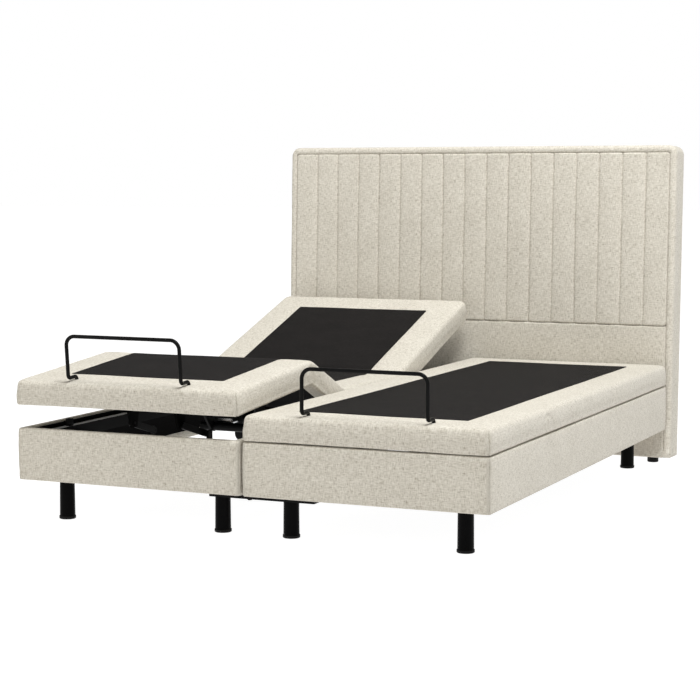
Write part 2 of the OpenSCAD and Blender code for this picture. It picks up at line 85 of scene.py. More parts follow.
OUTLINE = (-HALF_W / 2, HALF_W / 2, BASE_Y0, BASE_Y1)   # one half in plan
MID_SEAT = (HIP[0] + BACK[0]) / 2
MID_THIGH = (KNEE[0] + HIP[0]) / 2
FOLD = 0.140        # length of fabric that bends at a back or thigh hinge
KNEE_FOLD = 0.024   # length of fabric that bends at a knee hinge
RIM = 0.030         # how far inside the outline a half's grid lines begin
MM = 0.001


# ---------------------------------------------------------------- small maths
def smooth(t):
    t = np.clip(t, 0, 1)
    return t * t * (3 - 2 * t)


def noise(p, size, seed):
    """Smooth value noise from -1 to 1 at the points p, with features of that size.
    Each corner of a grid cell gets its value from an integer hash, so nothing is random."""
    q = p / np.asarray(size, float) + 31.7 * (seed + 1)
    i = np.floor(q).astype(np.int64)
    f = smooth(q - i)
    total = np.zeros(len(p))
    for c in range(8):
        d = np.array([c & 1, c >> 1 & 1, c >> 2 & 1])
        h = ((i + d) @ np.array([73856093, 19349663, 83492791])) & 0x7FFFFFFF
        h = ((h ^ (h >> 13)) * 1274126177) & 0x7FFFFFFF
        v = ((h ^ (h >> 15)) & 0xFFFF) / 32767.5 - 1
        total += v * np.prod(np.where(d == 1, f, 1 - f), axis=1)
    return total


def turn(p, pivot, angle):
    """p turned about the X axis through pivot (y, z)."""
    c, s = np.cos(angle), np.sin(angle)
    y, z = p[:, 1] - pivot[0], p[:, 2] - pivot[1]
    return np.stack([p[:, 0], pivot[0] + y * c - z * s, pivot[1] + y * s + z * c], 1)


def stored_angles(side):
    back = -math.radians(JOINTS[side + "_back_hinge"]["range_deg"][0])
    thigh = -math.radians(JOINTS[side + "_thigh_hinge"]["range_deg"][0])
    return back, thigh


def lay(p, side):
    """Points of the flat deck, brought to the half's stored pose."""
    back, thigh = stored_angles(side)
    y = p[:, 1]
    q = turn(p, KNEE, smooth((KNEE[0] + KNEE_FOLD / 2 - y) / KNEE_FOLD) * thigh * KNEE_RATIO)
    q = turn(q, HIP, -smooth((HIP[0] + FOLD / 2 - y) / FOLD) * thigh)
    return turn(q, BACK, smooth((y - BACK[0] + FOLD / 2) / FOLD) * back)


def steps(a, b, size):
    """Evenly spaced numbers from a to b, about size apart."""
    return np.linspace(a, b, max(2, int(round(abs(b - a) / size)) + 1))


def lines(*parts):
    """Grid lines from several runs, sorted, without near doubles."""
    v = np.sort(np.concatenate([np.atleast_1d(x) for x in parts]))
    keep = np.concatenate([[True], np.diff(v) > 0.4 * MM])
    return v[keep]


def shoulder(radius, z, n):
    """n (inset, height) rows of a quarter round, from the top at z to the side."""
    return [(radius * (1 - math.sin(t)), z - radius * (1 - math.cos(t)))
            for t in np.linspace(0, math.pi / 2, n)]


def heel(radius, z, n):
    """n (inset, height) rows of a quarter round, from the side to the underside at z."""
    return [(radius * (1 - math.cos(t)), z + radius * (1 - math.sin(t)))
            for t in np.linspace(0, math.pi / 2, n)]


def plan(p):
    """The points, put down on the floor."""
    return np.stack([p[:, 0], p[:, 1], np.zeros(len(p))], 1)


def edge_distance(p):
    """How far the points stand inside a half's outline."""
    return np.minimum(HALF_W / 2 - np.abs(p[:, 0]), np.minimum(p[:, 1] - BASE_Y0, BASE_Y1 - p[:, 1]))


def corner_distance(p):
    """How far the points stand from the nearest corner of a half's outline."""
    across = np.abs(p[:, 0]) - HALF_W / 2
    return np.minimum(np.hypot(across, p[:, 1] - BASE_Y0), np.hypot(across, p[:, 1] - BASE_Y1))


# ---------------------------------------------------------------- meshes
FAN = np.radians([6, 18, 28, 35, 40, 43, 45, 47, 50, 55, 62, 72, 84])   # close together at the seam
SEAM_SPREAD = 3.2   # half width of a corner seam, in degrees round the corner


def rim_columns(xs, ys, rect):
    """The columns once round the rim: x, y, way out, corner number (-1 on a straight), angle."""
    x0, x1, y0, y1 = rect
    cols = [(x, y0, (0, -1), -1, 0) for x in xs]
    cols += [(x1, y0, (1, -1), 0, a - math.pi / 2) for a in FAN]
    cols += [(x1, y, (1, 0), -1, 0) for y in ys]
    cols += [(x1, y1, (1, 1), 1, a) for a in FAN]
    cols += [(x, y1, (0, 1), -1, 0) for x in xs[::-1]]
    cols += [(x0, y1, (-1, 1), 2, a + math.pi / 2) for a in FAN]
    cols += [(x0, y, (-1, 0), -1, 0) for y in ys[::-1]]
    cols += [(x0, y0, (-1, -1), 3, a + math.pi) for a in FAN]
    return cols


def sweep_column(col, rect, d, z, run, corner):
    """One column of the rim: its points, weave coordinates and seam share."""
    x0, x1, y0, y1 = rect
    x, y, n, k, angle = col
    if k < 0:
        px = x - n[0] * d if n[0] else np.clip(x, x0 + d, x1 - d)
        py = y - n[1] * d if n[1] else np.clip(y, y0 + d, y1 - d)
        wx, wy = px[0] + n[0] * run, py[0] + n[1] * run
        seam = np.zeros(len(d))
    else:
        r = np.maximum(corner(k, z) - d, 0)
        px = x - n[0] * (d + r) + r * math.cos(angle)
        py = y - n[1] * (d + r) + r * math.sin(angle)
        wx, wy = px[0] + math.cos(angle) * run, py[0] + math.sin(angle) * run
        off = math.degrees(angle) % 90 - 45
        seam = np.full(len(d), math.exp(-(off / SEAM_SPREAD) ** 2))
    return np.stack([px, py, z], 1), np.stack([wx, wy], 1), seam


def rim_faces(n_col, n_row, closed, dark_from):
    """Faces of the rim and their material numbers: 1 (black) from row dark_from on."""
    faces, dark = [], []
    for c in range(n_col):
        a, b = c * n_row, ((c + 1) % n_col) * n_row
        for r in range(n_row if closed else n_row - 1):
            q = (r + 1) % n_row
            faces.append((a + r, a + q, b + q, b + r))
            dark.append(int(dark_from is not None and r >= dark_from))
    return faces, dark


def field(xs, ys, rect, d, z, first, under):
    """A flat grid at height z, inset by d. Its vertices are numbered from first on."""
    x0, x1, y0, y1 = rect
    gx = np.concatenate([[x0 + d], np.clip(xs, x0 + d, x1 - d), [x1 - d]])
    gy = np.concatenate([[y0 + d], np.clip(ys, y0 + d, y1 - d), [y1 - d]])
    mx, my = np.meshgrid(gx, gy)
    faces = []
    for j in range(len(gy) - 1):
        for i in range(len(gx) - 1):
            q = first + j * len(gx) + i
            f = (q, q + 1, q + len(gx) + 1, q + len(gx))
            faces.append(f[::-1] if under else f)
    return np.stack([mx.ravel(), my.ravel(), np.full(mx.size, z)], 1), faces


def slab(xs, ys, rect, rows, corner, top=True, bottom=True, closed=False, dark_from=None):
    """A soft slab: a top field, a rim swept round a rounded rectangle, and a field underneath.
    rows are (inset, height) pairs; corner(index, heights) gives the plan radius at the rim's corners.
    Returns vertices, faces, weave coordinates, seam share, and each face's material number."""
    d, z = np.array(rows, float).T
    run = np.concatenate([[0], np.cumsum(np.hypot(np.diff(d), np.diff(z)))])
    swept = [sweep_column(c, rect, d, z, run, corner) for c in rim_columns(xs, ys, rect)]
    verts, weave, seam = (np.concatenate(part) for part in zip(*swept))
    faces, dark = rim_faces(len(swept), len(rows), closed, dark_from)
    for wanted, row, under in ((top, 0, False), (bottom, -1, True)):
        if wanted:
            flat, grid = field(xs, ys, rect, d[row], z[row], len(verts), under)
            verts = np.concatenate([verts, flat])
            weave = np.concatenate([weave, flat[:, :2]])
            seam = np.concatenate([seam, np.zeros(len(flat))])
            faces += grid
            dark += [int(under and dark_from is not None)] * len(grid)
    return weld(verts, faces, weave, seam, dark)


def weld(verts, faces, weave, seam, dark):
    """Joins vertices that coincide and drops the faces that this closes."""
    _, first, where = np.unique(np.round(verts * 2e5).astype(np.int64), axis=0,
                                return_index=True, return_inverse=True)
    where = where.ravel()
    kept, kinds = [], []
    for f, k in zip(faces, dark):
        g = [int(where[i]) for i in f]
        g = [v for i, v in enumerate(g) if v != g[i - 1]]
        if len(set(g)) >= 3:
            kept.append(tuple(g))
            kinds.append(k)
    return verts[first], kept, weave[first], seam[first], kinds


def normals(verts, faces):
    """Vertex normals."""
    f = np.array([t if len(t) == 4 else (t[0], t[1], t[2], t[2]) for t in faces])
    n = np.cross(verts[f[:, 2]] - verts[f[:, 0]], verts[f[:, 3]] - verts[f[:, 1]])
    total = np.zeros_like(verts)
    for k in range(4):
        np.add.at(total, f[:, k], n)
    return total / np.maximum(np.linalg.norm(total, axis=1), 1e-12)[:, None]


def build(name, verts, faces, weave, kinds, mats, pick=None):
    """A smooth mesh object. pick keeps only the faces whose number it is true for."""
    faces = np.array([t if len(t) == 4 else t + (-1,) for t in faces])
    kinds = np.array(kinds)
    if pick is not None:
        faces, kinds = faces[pick], kinds[pick]
    used = np.unique(faces[faces >= 0])
    new = np.full(len(verts) + 1, -1)
    new[used] = np.arange(len(used))
    faces = [tuple(int(new[i]) for i in f if i >= 0) for f in faces]
    mesh = bpy.data.meshes.new(name)
    mesh.from_pydata(verts[used].tolist(), [], faces)
    uv = mesh.attributes.new("weave", "FLOAT_VECTOR", "POINT")
    uv.data.foreach_set("vector", np.pad(weave[used], ((0, 0), (0, 1))).astype(np.float32).ravel())
    mesh.polygons.foreach_set("use_smooth", [True] * len(faces))
    for m in mats:
        mesh.materials.append(m)
    mesh.polygons.foreach_set("material_index", kinds.astype(np.int32))
    mesh.update()
    obj = bpy.data.objects.new(name, mesh)
    bpy.context.scene.collection.objects.link(obj)
    return obj


# ---------------------------------------------------------------- materials
class Graph:
    """A short way to write a material's nodes."""

    def __init__(self, name):
        self.mat = bpy.data.materials.new(name)
        self.mat.use_nodes = True
        self.tree = self.mat.node_tree
        self.shader = self.tree.nodes["Principled BSDF"]

    def node(self, kind, **values):
        n = self.tree.nodes.new("ShaderNode" + kind)
        for k, v in values.items():
            if hasattr(n, k):
                setattr(n, k, v)
            else:
                self.put(n.inputs[k.replace("_", " ")], v)
        return n

    def put(self, socket, value):
        if isinstance(value, bpy.types.NodeSocket):
            self.tree.links.new(value, socket)
        else:
            socket.default_value = value

    def weave(self):
        """Where a point lies in the flat cloth."""
        return self.node("Attribute", attribute_name="weave").outputs["Vector"]

    def place(self):
        """Where a point lies in the object."""
        return self.node("TexCoord").outputs["Object"]

    def math(self, op, a, b=0.0, clamp=False):
        n = self.node("Math", operation=op, use_clamp=clamp)
        self.put(n.inputs[0], a)
        self.put(n.inputs[1], b)
        return n.outputs[0]

    def scaled(self, vector, scale):
        n = self.node("VectorMath", operation="MULTIPLY")
        self.put(n.inputs[0], vector)
        n.inputs[1].default_value = scale
        return n.outputs[0]

    def axis(self, vector, number, scale):
        """One coordinate of the vector, scaled."""
        n = self.node("SeparateXYZ")
        self.put(n.inputs[0], vector)
        return self.math("MULTIPLY", n.outputs[number], scale)

    def ribs(self, vector, number, pitch):
        """Ribs across one coordinate, that far apart."""
        return self.math("SINE", self.axis(vector, number, 2 * math.pi / pitch))

    def noise(self, vector, scale, detail=2.0, rough=0.5):
        """Noise with scale features to the metre along each axis."""
        n = self.node("TexNoise", Scale=1.0, Detail=detail, Roughness=rough)
        self.put(n.inputs["Vector"], self.scaled(vector, scale))
        return n.outputs["Fac"]

    def crossed(self, vector, dense, sparse, detail):
        """Threads both ways: noise drawn out along each direction of the cloth, added."""
        warp = self.noise(vector, (dense, sparse, 1), detail)
        weft = self.noise(vector, (sparse, dense, 1), detail)
        return self.math("ADD", warp, weft)

    def ramp(self, fac, stops):
        n = self.node("ValToRGB")
        e = n.color_ramp.elements
        while len(e) < len(stops):
            e.new(0.5)
        for item, (at, colour) in zip(e, stops):
            item.position = at
            item.color = (*colour, 1)
        self.put(n.inputs[0], fac)
        return n.outputs[0]

    def mix(self, fac, a, b):
        n = self.node("Mix", data_type="RGBA")
        self.put(n.inputs[0], fac)
        self.put(n.inputs[6], a)
        self.put(n.inputs[7], b)
        return n.outputs[2]

    def sum(self, a, share_a, b, share_b):
        return self.math("ADD", self.math("MULTIPLY", a, share_a), self.math("MULTIPLY", b, share_b))

    def set(self, **values):
        for k, v in values.items():
            self.put(self.shader.inputs[k.replace("_", " ")], v)

    def bump(self, height, distance, strength):
        n = self.node("Bump", Strength=strength, Distance=distance)
        self.put(n.inputs["Height"], height)
        self.put(self.shader.inputs["Normal"], n.outputs[0])


def melange_cloth():
    """Upholstery cloth: crossing slubby threads, flecks, and a fine plain weave in relief."""
    dark, mid, light = (0.310, 0.276, 0.217), (0.540, 0.502, 0.426), (0.690, 0.656, 0.580)
    speck, speck_gain = (0.190, 0.155, 0.105, 1), 1.56
    pitch = 0.0021
    g = Graph("fabric_cover")
    at = g.weave()
    fine = g.crossed(at, 480, 74, 1.5)
    broad = g.crossed(at, 250, 42, 1)
    colour = g.ramp(g.sum(fine, 0.32, broad, 0.18), [(0.36, dark), (0.47, mid), (0.60, light)])
    fleck = g.noise(at, (330, 330, 1), 1)
    fleck = g.math("MULTIPLY", g.math("SUBTRACT", fleck, 0.60, True), speck_gain, True)
    colour = g.mix(fleck, colour, speck)
    patch = g.noise(at, (9, 9, 1), 3)
    colour = g.mix(0.10, colour, g.ramp(patch, [(0.3, dark), (0.7, light)]))
    g.set(Base_Color=colour, Roughness=0.92, Sheen_Weight=0.18, Sheen_Roughness=0.45,
          Specular_IOR_Level=0.25)
    over = g.math("MULTIPLY", g.ribs(at, 0, pitch), g.ribs(at, 1, pitch))
    g.bump(g.math("ADD", g.math("MULTIPLY", over, 0.22), fine), 0.0011, 0.75)
    return g.mat


def ribbed_black():
    g = Graph("grip_fabric")
    at = g.weave()
    thread = g.noise(at, (40, 700, 1))
    cloud = g.noise(at, (6, 14, 1), 3)
    colour = g.ramp(g.sum(thread, 0.7, cloud, 0.3),
                    [(0.35, (0.0036, 0.0031, 0.0031)), (0.62, (0.0108, 0.0093, 0.0090))])
    g.set(Base_Color=colour, Roughness=0.85, Specular_IOR_Level=0.08, Sheen_Weight=0.04,
          Sheen_Roughness=0.4)
    rib = g.ribs(at, 1, 0.0024)
    g.bump(g.math("ADD", g.math("MULTIPLY", rib, 0.4), thread), 0.0006, 0.6)
    return g.mat


def lining():
    g = Graph("black_lining")
    fibre = g.noise(g.weave(), (160, 160, 1), 4, 0.7)
    colour = g.ramp(fibre, [(0.3, (0.0025, 0.0024, 0.0024)), (0.7, (0.008, 0.0076, 0.0074))])
    g.set(Base_Color=colour, Roughness=0.95, Specular_IOR_Level=0.05)
    g.bump(fibre, 0.0005, 0.5)
    return g.mat


def solid(name, dark, light, rough, metal=0.0, grain=(60, 60, 60), relief=0.00006, spread=0.12,
          level=0.5):
    """Paint, plastic, rubber or metal, with a fine skin, cloudy gloss and small colour changes."""
    g = Graph(name)
    at = g.place()
    skin = g.noise(at, grain, 5, 0.65)
    cloud = g.noise(at, (7, 7, 7), 3)
    colour = g.ramp(g.sum(skin, 0.5, cloud, 0.5), [(0.35, dark), (0.65, light)])
    gloss = g.math("ADD", rough - spread / 2, g.math("MULTIPLY", skin, spread))
    g.set(Base_Color=colour, Roughness=gloss, Metallic=metal, Specular_IOR_Level=level)
    g.bump(skin, relief, 0.6)
    return g.mat


def rail_with_painted_top_reflection():
    """Black rail with a painted reflection: its flat top is coloured near white and partly metallic, standing in
    for the bright light it catches.
    """
    g = Graph("zinc_steel")
    skin = g.noise(g.place(), (30, 4, 30), 4, 0.6)
    split = g.node("SeparateXYZ")
    g.put(split.inputs[0], g.node("NewGeometry").outputs["True Normal"])
    # Painted reflection: the upward-facing top, picked by its normal, is coloured near white and made partly
    # metallic, while the sides keep the black paint.
    top = g.math("GREATER_THAN", split.outputs[2], 0.9)
    painted_reflection_colour = g.ramp(skin, [(0.35, (0.76, 0.77, 0.79)), (0.65, (0.88, 0.89, 0.90))])
    paint = g.ramp(skin, [(0.35, (0.003, 0.003, 0.003)), (0.65, (0.006, 0.006, 0.006))])
    g.set(Base_Color=g.mix(top, paint, painted_reflection_colour), Roughness=0.42, Specular_IOR_Level=0.04,
          Metallic=g.math("MULTIPLY", top, 0.35))
    g.bump(skin, 0.00003, 0.5)
    return g.mat


def softwood():
    g = Graph("raw_wood")
    at = g.place()
    bend = g.noise(at, (14, 2.5, 14), 3)
    ring = g.math("SINE", g.math("ADD", g.axis(at, 2, 900), g.math("MULTIPLY", bend, 26)))
    fibre = g.noise(at, (600, 14, 600), 3)
    mixed = g.math("ADD", g.math("MULTIPLY", ring, 0.16), fibre)
    colour = g.ramp(mixed, [(0.30, (0.30, 0.185, 0.085)), (0.72, (0.56, 0.40, 0.23))])
    g.set(Base_Color=colour, Roughness=0.7, Specular_IOR_Level=0.3)
    g.bump(mixed, 0.0004, 0.5)
    return g.mat


def grey(value):
    return (value, value, value)


LINEN = melange_cloth()
GRIP = ribbed_black()
LINING = lining()
SLOTS = {
    "black_board": LINING,
    "black_steel": solid("black_steel", grey(0.003), grey(0.008), 0.32, relief=0.00002, spread=0.05,
                         level=0.06),
    "leg_black": solid("leg_black", grey(0.0008), grey(0.0022), 0.34, grain=(90, 90, 90),
                       relief=0.00002, spread=0.05, level=0.04),
    "zinc_steel": rail_with_painted_top_reflection(),
    "raw_wood": softwood(),
    "black_plastic": solid("black_plastic", grey(0.003), grey(0.008), 0.5, grain=(900, 900, 900),
                           relief=0.0001, level=0.12),
    "bright_steel": solid("bright_steel", (0.55, 0.56, 0.57), (0.72, 0.73, 0.74), 0.22, metal=1.0,
                          grain=(90, 6, 90)),
    "buffer_rubber": solid("buffer_rubber", grey(0.003), grey(0.007), 0.7, level=0.15),
}
for part in frame["record"]["subparts"]:
    node, finish = frame["nodes"][part["node"]], SLOTS.get(part["material_slot"])
    if finish:
        node.data.materials.clear()
        node.data.materials.append(finish)


# ---------------------------------------------------------------- decks
DECK_EDGE_R = 0.019     # the deck's upper edge
DECK_FOOT_R = 0.007     # its lower edge
DECK_SWELL = 1.6 * MM   # how far its sides bulge at mid height
DECK_LINING = 0.050     # how far in the black lining begins underneath
HINGE_FOLDS = ((KNEE, 0.062, 3.0), (HIP, 0.055, 0.9), (BACK, 0.055, 0.9))   # pivot, reach, depth in mm


def waves(p):
    """How far the deck's top stands above flat: foam and cloth are never quite even."""
    return 0.7 * MM * noise(plan(p), 0.19, 3) + 0.25 * MM * noise(plan(p), 0.06, 4)


def deck_lines():
    """Grid lines of the deck's top: closer at the hinges and at the inlay's seam."""
    ys = lines(
        steps(BASE_Y0 + RIM, BASE_Y1 - RIM, 0.011), MID_SEAT, MID_THIGH,
        steps(HIP[0] - 0.08, HIP[0] + 0.08, 0.005), steps(BACK[0] - 0.08, BACK[0] + 0.08, 0.005),
        steps(KNEE[0] - 0.03, KNEE[0] + 0.03, 0.002),
        [INLAY_Y0 - 0.004, INLAY_Y0 - 0.0015, INLAY_Y0 + 0.002],
        [INLAY_Y1 + 0.004, INLAY_Y1 + 0.0015, INLAY_Y1 - 0.002])
    edge = INLAY_W / 2
    xs = lines(steps(-HALF_W / 2 + RIM, HALF_W / 2 - RIM, 0.012),
               [s * (edge + o) for s in (-1, 1) for o in (-0.002, 0.0015, 0.004)])
    return xs, ys


def deck_rows():
    """The deck's section, from its top round the side to the lining underneath."""
    low, under = DECK_Z0 - 1.0 * MM, DECK_Z0 - 0.3 * MM
    side_z = steps(DECK_Z1 - DECK_EDGE_R, low + DECK_FOOT_R, 0.006)[1:-1]
    t = (DECK_Z1 - DECK_EDGE_R - side_z) / (side_z[0] - side_z[-1])
    rows = [(RIM, DECK_Z1), (0.024, DECK_Z1)] + shoulder(DECK_EDGE_R, DECK_Z1, 8)
    rows += [(-DECK_SWELL * math.sin(math.pi * a), z) for a, z in zip(t, side_z)]
    rows += heel(DECK_FOOT_R, low, 5) + [(0.013, low)]
    return rows + [(d, under) for d in (0.022, 0.030, 0.040, DECK_LINING, DECK_LINING + 2 * MM)]


def deck_corner(_, z):
    """The plan radius at a deck's corners, tighter towards the underside."""
    return np.interp(z, [DECK_Z0 + 0.018, DECK_Z0 + 0.050], [0.013, 0.024])


def top_relief(p):
    """Lift of the deck's top: slow waves, a crown in the margin, the inlay's seam, mitred corners."""
    ex = np.abs(p[:, 0]) - INLAY_W / 2
    ey = np.maximum(INLAY_Y0 - p[:, 1], p[:, 1] - INLAY_Y1)
    out = np.maximum(ex, ey)
    lift = waves(p) + 1.0 * MM * smooth(out / 0.03) * smooth((0.115 - out) / 0.05)
    lift -= 1.5 * MM * np.exp(-((out - 0.0015) / 0.003) ** 2)
    across = HALF_W / 2 - INLAY_W / 2
    for far, rim in ((INLAY_Y0, BASE_Y0), (INLAY_Y1, BASE_Y1)):
        along = rim - far
        gone = (p[:, 1] - far) / along
        miss = (ex - gone * across) * abs(along) / math.hypot(along, across)
        crease = 1.3 * MM * np.exp(-(miss / 0.010) ** 2)
        lift -= crease * smooth(gone / 0.15) * smooth((1.05 - gone) / 0.2)
    return lift


def side_relief(p, seam, height, on_side):
    """Bulge of the deck's sides: undulation, ripples, corner seams with pucker, hinge folds."""
    ripple = 1.0 * MM * noise(p, (0.13, 0.13, 0.10), 5) + 0.35 * MM * noise(p, 0.04, 6)
    below_top = smooth((1.02 - height) / 0.25)
    shift = ripple * on_side - 3.8 * MM * seam * below_top
    pucker = noise(p, (0.03, 0.03, 0.009), 7) * np.exp(-(corner_distance(p) / 0.016) ** 2)
    shift += 0.9 * MM * pucker * below_top * on_side
    for pivot, reach, depth in HINGE_FOLDS:
        dy, dz = p[:, 1] - pivot[0], p[:, 2] - pivot[1]
        far = np.hypot(dy, dz)
        shift -= depth * MM * on_side * np.exp(-((far - reach) / 0.006) ** 2) * np.exp(-(dy / 0.05) ** 2)
        fan = np.sin(np.arctan2(dy, np.abs(dz) + 0.01) * 9) * np.exp(-(dy / 0.035) ** 2)
        shift += 0.8 * MM * fan * on_side * smooth(far / 0.03)
    return shift


def lower_edge(p, height):
    """How the deck's lower edge wanders up and down."""
    wander = 1.5 * MM * noise(plan(p), 0.17, 8) + 0.5 * MM * noise(plan(p), 0.05, 9)
    near_edge = smooth((0.35 - height) / 0.3) * smooth((0.022 - edge_distance(p)) / 0.009)
    return np.minimum(wander, 0.6 * MM) * near_edge


def sections(verts, faces, kind):
    """The pieces of a deck or an inlay: name, its faces, and the CAD nodes it stands for."""
    middle = np.array([verts[list(f)][:, 1].mean() for f in faces])
    return (("back", middle > MID_SEAT, (f"back_{kind}",)),
            ("seat", (middle <= MID_SEAT) & (middle > MID_THIGH), (f"seat_{kind}",)),
            ("foot", middle <= MID_THIGH, (f"thigh_{kind}", f"foot_{kind}")))


def place_half(verts, side):
    """Points of a flat deck, brought to their place in the bed."""
    placed = lay(verts, side)
    placed[:, 0] += SIDES[side] * HALF_X
    return placed


def deck(side):
    """The padded, upholstered deck of one half: three pieces that bend at the three hinges."""
    xs, ys = deck_lines()
    rows = deck_rows()
    verts, faces, weave, seam, kinds = slab(xs, ys, OUTLINE, rows, deck_corner,
                                            dark_from=len(rows) - 2)
    n = normals(verts, faces)
    height = (verts[:, 2] - DECK_Z0) / (DECK_Z1 - DECK_Z0)
    on_side = smooth((0.8 - np.abs(n[:, 2])) / 0.5)
    verts[:, 2] += top_relief(verts) * smooth((height - 0.6) / 0.3)
    verts += n * side_relief(verts, seam, height, on_side)[:, None]
    verts[:, 2] += lower_edge(verts, height)
    placed = place_half(verts, side)
    for name, pick, pads in sections(verts, faces, "pad"):
        obj = build(f"{side}_{name}_cover", placed, faces, weave, kinds, [LINEN, LINING], pick)
        join(obj)
        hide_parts(*[f"{side}_{p}" for p in pads])


def join(obj):
    """Bakes a deck piece's placement into its mesh."""
    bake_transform(obj)


def inlay(side):
    """The black grip cloth sewn into the deck's top."""
    edge, margin = INLAY_W / 2, 0.006
    xs, ys = deck_lines()
    xs = xs[np.abs(xs) < edge - margin]
    ys = ys[(ys > INLAY_Y0 + margin) & (ys < INLAY_Y1 - margin)]
    z = DECK_Z1 + 0.9 * MM
    rows = [(0.005, z), (0.0022, z - 0.1 * MM), (0.0008, z - 0.5 * MM), (0, z - 1.2 * MM),
            (0, z - 3 * MM)]
    verts, faces, weave, _, kinds = slab(xs, ys, (-edge, edge, INLAY_Y0, INLAY_Y1), rows,
                                         lambda _, h: 0.004 + 0 * h, bottom=False)
    verts[:, 2] += waves(verts)
    placed = place_half(verts, side)
    for name, pick, nodes in sections(verts, faces, "inlay"):
        obj = build(f"{side}_{name}_grip", placed, faces, weave, kinds, [GRIP], pick)
        join(obj)
        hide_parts(*[f"{side}_{p}" for p in nodes])


# ---------------------------------------------------------------- base boxes
BASE_EDGE_R = 0.0075    # a base box's upper edge
BASE_FOOT_R = 0.004     # its lower edge
BASE_CORNER_R = 0.013
BASE_SWELL = 1.2 * MM   # how far its panels bulge at mid height


def base_rows():
    """The box's section, once round a panel, and the row where the black lining begins."""
    inner = PANEL + 1.0 * MM
    high = BASE_Z1 - 1.0 * MM
    face = steps(high - BASE_EDGE_R, BASE_Z0 + BASE_FOOT_R, 0.008)[1:-1]
    t = (high - face) / (high - BASE_Z0)
    rows = [(inner, high - 0.005), (inner - 0.001, high - 0.001),
            (inner - 0.004, high), (0.016, high + 0.4 * MM)]
    rows += shoulder(BASE_EDGE_R, high, 6)
    rows += [(-BASE_SWELL * math.sin(math.pi * a), z) for a, z in zip(t, face)]
    rows += heel(BASE_FOOT_R, BASE_Z0, 5)
    rows += [(0.014, BASE_Z0), (inner - 0.003, BASE_Z0)]
    rows += [(inner, BASE_Z0 + up) for up in (0.003, 0.016, 0.028)]
    lined = inner - 0.6 * MM
    lining_rows = [(lined, z) for z in (BASE_Z0 + 0.029, BASE_Z0 + 0.08, high - 0.0056)]
    return rows + lining_rows, len(rows) - 1


def base_box(side):
    """One half's four upholstered panels under one wrapped cover, lined in black inside."""
    xs = steps(-HALF_W / 2 + RIM, HALF_W / 2 - RIM, 0.012)
    ys = steps(BASE_Y0 + RIM, BASE_Y1 - RIM, 0.012)
    rows, dark_from = base_rows()
    verts, faces, weave, seam, kinds = slab(
        xs, ys, OUTLINE, rows, lambda _, z: BASE_CORNER_R + 0 * z, top=False, bottom=False,
        closed=True, dark_from=dark_from)
    n = normals(verts, faces)
    on_side = smooth((0.8 - np.abs(n[:, 2])) / 0.5) * smooth((0.018 - edge_distance(verts)) / 0.01)
    shift = on_side * (1.0 * MM * noise(verts, (0.16, 0.16, 0.12), 11 + SIDES[side])
                       + 0.35 * MM * noise(verts, 0.045, 12))
    pucker = noise(verts, (0.03, 0.03, 0.010), 13) * np.exp(-(corner_distance(verts) / 0.014) ** 2)
    shift += on_side * (0.7 * MM * pucker - 2.4 * MM * seam)
    verts += n * shift[:, None]
    top = smooth((verts[:, 2] - BASE_Z1 + 0.02) / 0.02)
    verts[:, 2] += 1.0 * MM * np.minimum(noise(plan(verts), 0.27, 14), 0.4) * top
    verts[:, 0] += SIDES[side] * HALF_X
    obj = build(f"{side}_base_cover", verts, faces, weave, kinds, [LINEN, LINING])
    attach(obj, "base")
    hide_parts(*[f"{side}_{p}_panel" for p in ("front", "rear", "outer", "inner")])


# ---------------------------------------------------------------- headboard
HEAD_EDGE_R = 0.0145      # the border's outer edge
HEAD_CORNER_R = 0.035     # the upper corners, seen from the front
BORDER_RISE = 0.0026      # how far the border stands before the CAD's lower pad
CHANNELS = 17
PAD_EDGE_R = 0.0065
PAD_RISE = 0.002          # how far the pads' rims do
PAD_W = HEAD_W / 2 - HEAD_BORDER + 0.5 * MM
PAD_TOP = HEAD_TOP - HEAD_BORDER + 0.5 * MM
PAD_GAP = 0.6 * MM        # between the two pads
PAD_ROWS = shoulder(PAD_EDGE_R, PAD_RISE, 7) + [(0, -0.013), (0.0005, -0.018)]


def stand(p):
    """Headboard points (across, up, towards the front) in the row frame."""
    q = np.stack([p[:, 0], -p[:, 2], p[:, 1]], 1)
    q = turn(q, (0, 0), -HEAD_LEAN)
    q[:, 1] += HEAD_Y
    return q


def head_rows():
    """The shell's section: the border's inner edge, its front, the side, and the lined back."""
    rows = [(HEAD_BORDER + d, z) for d, z in (
        (0.010, -0.018), (0.0035, -0.014), (0.0010, -0.008), (-0.0004, -0.003), (-0.0025, 0.0004),
        (-0.006, 0.0022))]
    rows += shoulder(HEAD_EDGE_R, BORDER_RISE, 7)
    rows += [(0, z) for z in steps(-0.018, 0.009 - HEAD_T, 0.010)]
    rows += heel(0.006, -HEAD_T, 5)
    return rows + [(0.018, -HEAD_T), (0.032, -HEAD_T), (0.034, -HEAD_T + 0.6 * MM)]


